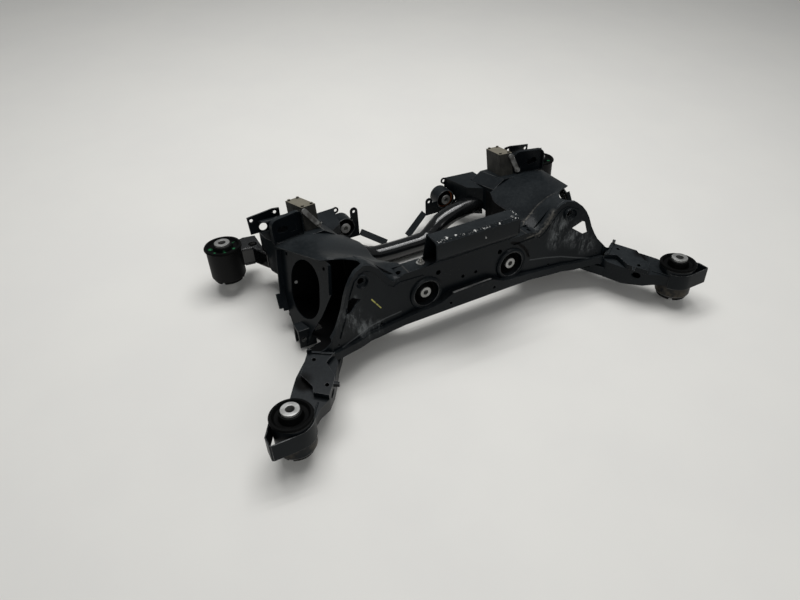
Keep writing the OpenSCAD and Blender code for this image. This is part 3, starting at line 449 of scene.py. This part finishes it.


# painted shade: the closed-in sheets get a darker coat without dust; the front cans keep a clean
# dip coat made the same way
def insideShadeBlack(name):
    made, shader, spot = newFinish(name, {"Specular IOR Level": insideLook["gleam"][name]})
    cloud = spot.noise(*insideLook["cloud"])
    colour = cloud.step(*insideLook["limits"]).mix(insideLook["paint"], insideLook["lit"])
    colour = dots(spot, insideLook["light"]).mix(colour, insideLook["spot"])
    roughness = insideLook["rough"] + cloud * insideLook["roughCloud"]
    wire(shader, {"Base Color": colour, "Roughness": roughness})
    return made


finishes = {"satin_black": satinBlack(), "gloss_black": glossBlack(), "rubber": bushRubber(),
            "alloy": sleeveAlloy(), "cast": damperCast(), "zinc": boltZinc()}
inside = insideShadeBlack("insideShadeBlack")
# side_floor and side_inner take the inside coat, painted shade for the closed-in sheets
special = {"damper_strap": leverAlloy(), "side_floor": inside, "side_inner": inside,
           "front_can": insideShadeBlack("canBlack")}
rubbedHighlight = wornEdgeHighlight()
print("subframe: finishes made")

# pressed edges are broken a little, and smooth faces shade smoothly
edges = {"merge": 0.00002, "width": 0.0011, "segments": 2, "angle": math.radians(34),
         "smooth": math.radians(32), "shell": math.radians(62)}


def smoothGroup(name, limit):
    tree = bpy.data.node_groups.new(name, "GeometryNodeTree")
    for way in ("INPUT", "OUTPUT"):
        tree.interface.new_socket("Geometry", in_out=way, socket_type="NodeSocketGeometry")
    start = Sig(tree)
    mesh = start.node("NodeGroupInput", {}, {})
    mesh = start.node("GeometryNodeRemoveAttribute", {},
                      {"Geometry": mesh, "Name": "custom_normal"})
    angle = start.node("GeometryNodeInputMeshEdgeAngle", {}, {})
    soft = start.node("FunctionNodeCompare", {"operation": "LESS_THAN"}, {0: angle, 1: limit})
    for domain, smooth in (("FACE", True), ("EDGE", soft)):
        mesh = start.node("GeometryNodeSetShadeSmooth", {"domain": domain},
                          {"Geometry": mesh, "Shade Smooth": smooth})
    tree.links.new(mesh.socket, tree.nodes.new("NodeGroupOutput").inputs[0])
    return tree


smoothFaces = smoothGroup("smoothFaces", edges["smooth"])
shellFaces = smoothGroup("shellFaces", edges["shell"])


def breakEdges(piece, group, angle):
    weld = piece.modifiers.new("weld", "WELD")
    weld.merge_threshold = edges["merge"]
    bevel = piece.modifiers.new("edges", "BEVEL")
    bevel.limit_method = "ANGLE"
    bevel.angle_limit = angle
    bevel.width = edges["width"]
    bevel.segments = edges["segments"]
    soft = piece.modifiers.new("smooth", "NODES")
    soft.node_group = group
    flat = piece.modifiers.new("flat", "WEIGHTED_NORMAL")
    flat.keep_sharp = True


for entry in frame["record"]["subparts"]:
    name = entry["node"]
    piece = frame["nodes"][name]
    piece.data.materials.clear()
    stem = name.rsplit("_", 1)[0]
    piece.data.materials.append(special.get(stem, finishes[entry["material_slot"]]))
    if stem == "side_top":
        breakEdges(piece, shellFaces, edges["shell"])
    else:
        breakEdges(piece, smoothFaces, edges["angle"])
    # the bevelled faces of satin pieces take the worn-edge finish, partly painted edge highlight
    if entry["material_slot"] == "satin_black" and stem not in special:
        piece.data.materials.append(rubbedHighlight)
        piece.modifiers["edges"].material = 1
print("subframe: solids dressed")

# rippled weld seams as points and size, in the car's axes in mm; each is laid on both sides
welds = {"step": 0.0012, "sides": 8, "ripple": 0.22, "beat": 0.75, "end": 0.6,
         "gloss_black": [([(500, 574, 206), (490, 576, 207), (476, 574, 207), (462, 571, 207),
                           (449, 546, 207), (437, 522, 207)], 4.2),
                         ([(437, 521, 204), (437, 520, 164)], 3.4),
                         ([(490, 575, 160), (462, 571, 160)], 3.2)],
         "satin_black": [([(121, 196, 329), (121, 158, 326), (121, 152, 323), (121, 149, 317),
                           (121, 148, 280)], 2.2),
                         ([(498, 24, 105), (508, 12, 104), (518, -2, 102), (524, -14, 100)], 2.4)]}


def seam(points, size, verts, faces):
    stops = []
    for a, b in zip(points, points[1:]):
        n = max(2, int((b - a).length / welds["step"]))
        stops += [a.lerp(b, k / n) for k in range(n)]
    stops.append(points[-1])
    n = welds["sides"]
    first = len(verts)
    last = len(stops) - 1
    for i, p in enumerate(stops):
        run = (stops[min(i + 1, last)] - stops[max(i - 1, 0)]).normalized()
        if i == 0:
            side = run.orthogonal().normalized()
        else:
            side = (side - run * side.dot(run)).normalized()
        over = run.cross(side)
        swell = 1 - welds["ripple"] + welds["ripple"] * abs(math.sin(i * welds["beat"]))
        r = size / metre * swell * (welds["end"] if i in (0, last) else 1.0)
        for k in range(n):
            a = 2 * math.pi * k / n
            verts.append(p + side * (r * math.cos(a)) + over * (r * math.sin(a)))
    for i in range(last):
        for k in range(n):
            a, b = first + i * n + k, first + i * n + (k + 1) % n
            faces.append((a, b, b + n, a + n))
    faces.append(tuple(first + k for k in reversed(range(n))))
    faces.append(tuple(first + last * n + k for k in range(n)))


def addPiece(name, verts, faces, slot, smooth):
    mesh = bpy.data.meshes.new(name)
    mesh.from_pydata([tuple(v) for v in verts], [], faces)
    for face in mesh.polygons:
        face.use_smooth = smooth
    mesh.materials.append(finishes[slot])
    piece = bpy.data.objects.new(name, mesh)
    bpy.context.scene.collection.objects.link(piece)
    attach(piece, "root")
    return piece


for slot, name in (("gloss_black", "glossWelds"), ("satin_black", "satinWelds")):
    verts, faces = [], []
    for line, size in welds[slot]:
        for s in sides:
            seam([lay(s * x, y, z) for x, y, z in line], size, verts, faces)
    addPiece(name, verts, faces, slot, True)

# smooth skin over the saddle, where the shell is welded to the beam's flange
saddle = {"x": (203, 300), "y": (185.1, 261.1), "grid": (49, 39), "above": 400, "low": 218,
          "lift": 1.0, "sink": 1.0, "rounds": 140}


def between(ends, i, n):
    return ends[0] + (ends[1] - ends[0]) * i / (n - 1)


def heights(side):
    verts, faces = [], []
    for name in ("rear_face_panel", "side_top_right" if side > 0 else "side_top_left"):
        mesh = frame["nodes"][name].data
        first = len(verts)
        verts += [v.co.copy() for v in mesh.vertices]
        faces += [[first + k for k in face.vertices] for face in mesh.polygons]
    tree = BVHTree.FromPolygons(verts, faces)
    down = (lay(0, 0, -1) - lay(0, 0, 0)).normalized()
    above = saddle["above"]
    nx, ny = saddle["grid"]
    found = {}
    for i in range(nx):
        for j in range(ny):
            x, y = between(saddle["x"], i, nx), between(saddle["y"], j, ny)
            hit = tree.ray_cast(lay(side * x, y, above), down, above / metre)
            z = above - hit[3] * metre if hit[0] else 0.0
            if z > saddle["low"]:
                found[i, j] = (x, y, z)
    # bridge the seam where no sheet lies under the ray
    for i in range(nx):
        seen = [j for j in range(ny) if (i, j) in found]
        for a, b in zip(seen, seen[1:]):
            for j in range(a + 1, b):
                share = (j - a) / (b - a)
                found[i, j] = tuple(u + (v - u) * share for u, v in zip(found[i, a], found[i, b]))
    return found


def besideCells(i, j):
    return [(i - 1, j), (i + 1, j), (i, j - 1), (i, j + 1)]


verts, faces = [], []
for s in sides:
    spots = heights(s)
    level = {k: v[2] for k, v in spots.items()}
    rim = {k for k in spots if any(n not in spots for n in besideCells(*k))}
    # relax the skin, never below the sheets
    for turn in range(saddle["rounds"]):
        soft = {}
        for k, z in level.items():
            ring = [level[n] for n in besideCells(*k) if n in level]
            soft[k] = z if k in rim else max(spots[k][2], sum(ring) / len(ring))
        level = soft
    index = {}
    for k, (x, y, z) in spots.items():
        index[k] = len(verts)
        shift = -saddle["sink"] if k in rim else saddle["lift"]
        verts.append(lay(s * x, y, level[k] + shift))
    for i, j in spots:
        quad = [(i, j), (i + 1, j), (i + 1, j + 1), (i, j + 1)]
        if all(k in index for k in quad):
            quad = quad if s > 0 else quad[::-1]
            faces.append(tuple(index[k] for k in quad))
addPiece("saddleSkins", verts, faces, "satin_black", True)

# the ear's edge runs on to the rear arm's top
tip = {"outline": [(411, 163), (420, 153), (430, 146), (447, 141), (447, 124), (411, 124)],
       "rear": 134.2, "thick": 3.0}
verts, faces = [], []
for s in sides:
    first = len(verts)
    n = len(tip["outline"])
    for y in (tip["rear"], tip["rear"] + tip["thick"]):
        verts += [lay(s * x, y, z) for x, z in tip["outline"]]
    for k in range(n):
        m = (k + 1) % n
        faces.append((first + k, first + m, first + n + m, first + n + k))
    faces.append(tuple(first + k for k in range(n)))
    faces.append(tuple(first + n + k for k in reversed(range(n))))
addPiece("earTips", verts, faces, "satin_black", False)

# lap strip where the floor plate meets the inner plate
lap = {"x": (232, 258), "y": (405, 500), "z": (99.5, 105.5), "thick": 1.5,
       "corners": ((0, 0), (1, 0), (1, 1), (0, 1)),
       "faces": ((0, 1, 2, 3), (7, 6, 5, 4), (0, 4, 5, 1), (1, 5, 6, 2), (2, 6, 7, 3),
                 (3, 7, 4, 0))}
verts, faces = [], []
for s in sides:
    first = len(verts)
    for drop in (0.0, lap["thick"]):
        for i, j in lap["corners"]:
            verts.append(lay(s * lap["x"][i], lap["y"][j], lap["z"][j] - drop))
    for face in lap["faces"]:
        faces.append(tuple(first + k for k in (face if s > 0 else face[::-1])))
# the lap strips take the inside coat, painted shade
addPiece("lapStrips", verts, faces, "satin_black", False).data.materials[0] = inside
print("subframe: weld seams, saddle skins, ear tips and lap strips laid")

# pale floor and soft light
studio = {"finish": {"Specular IOR Level": 0.2}, "floor": rgb(0.75, 0.74, 0.705),
          "trodden": rgb(0.73, 0.72, 0.69), "cloud": (3.0, 4.0), "limits": (0.3, 0.7),
          "rough": 0.5, "roughCloud": 0.2, "size": 16.0, "at": (0, 0, -0.0005),
          "sky": 0.19, "skyTint": rgb(0.96, 0.985, 1.0)}
lamps = [{"name": "overhead", "at": (0.25, 0.8, 3.4), "target": (0, 0, 0.1), "size": (3.2, 2.0),
          "energy": 84.0},
         {"name": "tube", "at": (0.1, 0.75, 2.8), "target": (0, 0, 0.1), "size": (2.4, 0.1),
          "energy": 10.0},
         {"name": "tube", "at": (0.1, 1.15, 2.8), "target": (0, 0, 0.1), "size": (2.4, 0.1),
          "energy": 10.0},
         {"name": "rearFill", "at": (-0.3, -2.6, 1.6), "target": (0, 0, 0.15), "size": (2.0, 1.4),
          "energy": 14.0}]


def paleFloor():
    bpy.ops.mesh.primitive_plane_add(size=studio["size"], location=studio["at"])
    ground = bpy.context.object
    ground.name = "paleFloor"
    made, shader, spot = newFinish("paleFloorPaint", studio["finish"])
    cloud = spot.noise(*studio["cloud"])
    colour = cloud.step(*studio["limits"]).mix(studio["floor"], studio["trodden"])
    roughness = studio["rough"] + cloud * studio["roughCloud"]
    wire(shader, {"Base Color": colour, "Roughness": roughness})
    ground.data.materials.append(made)


def hangLamp(name, at, target, size, energy):
    light = bpy.data.lights.new(name, "AREA")
    light.shape = "RECTANGLE"
    light.size, light.size_y = size
    light.energy = energy
    holder = bpy.data.objects.new(name, light)
    bpy.context.scene.collection.objects.link(holder)
    holder.location = at
    holder.rotation_euler = (Vector(target) - Vector(at)).to_track_quat("-Z", "Y").to_euler()


paleFloor()
for lamp in lamps:
    hangLamp(**lamp)
world = bpy.data.worlds.new("softRoom")
bpy.context.scene.world = world
world.use_nodes = True
sky = world.node_tree.nodes["Background"]
sky.inputs["Color"].default_value = studio["skyTint"]
sky.inputs["Strength"].default_value = studio["sky"]
print("subframe: studio set")

shot = {"at": (-0.751, -1.058, 1.1927), "turn": (46.247, -1.819, -28.006), "lens": 27.441,
        "sensor": 36.0}
lens = bpy.data.cameras.new("photoView")
lens.sensor_fit = "HORIZONTAL"
lens.sensor_width = shot["sensor"]
lens.lens = shot["lens"]
eye = bpy.data.objects.new("photoView", lens)
bpy.context.scene.collection.objects.link(eye)
eye.location = shot["at"]
eye.rotation_euler = Euler([math.radians(a) for a in shot["turn"]], "XYZ")
bpy.context.scene.camera = eye
bpy.context.scene.view_settings.view_transform = "Standard"
print("subframe: camera set")
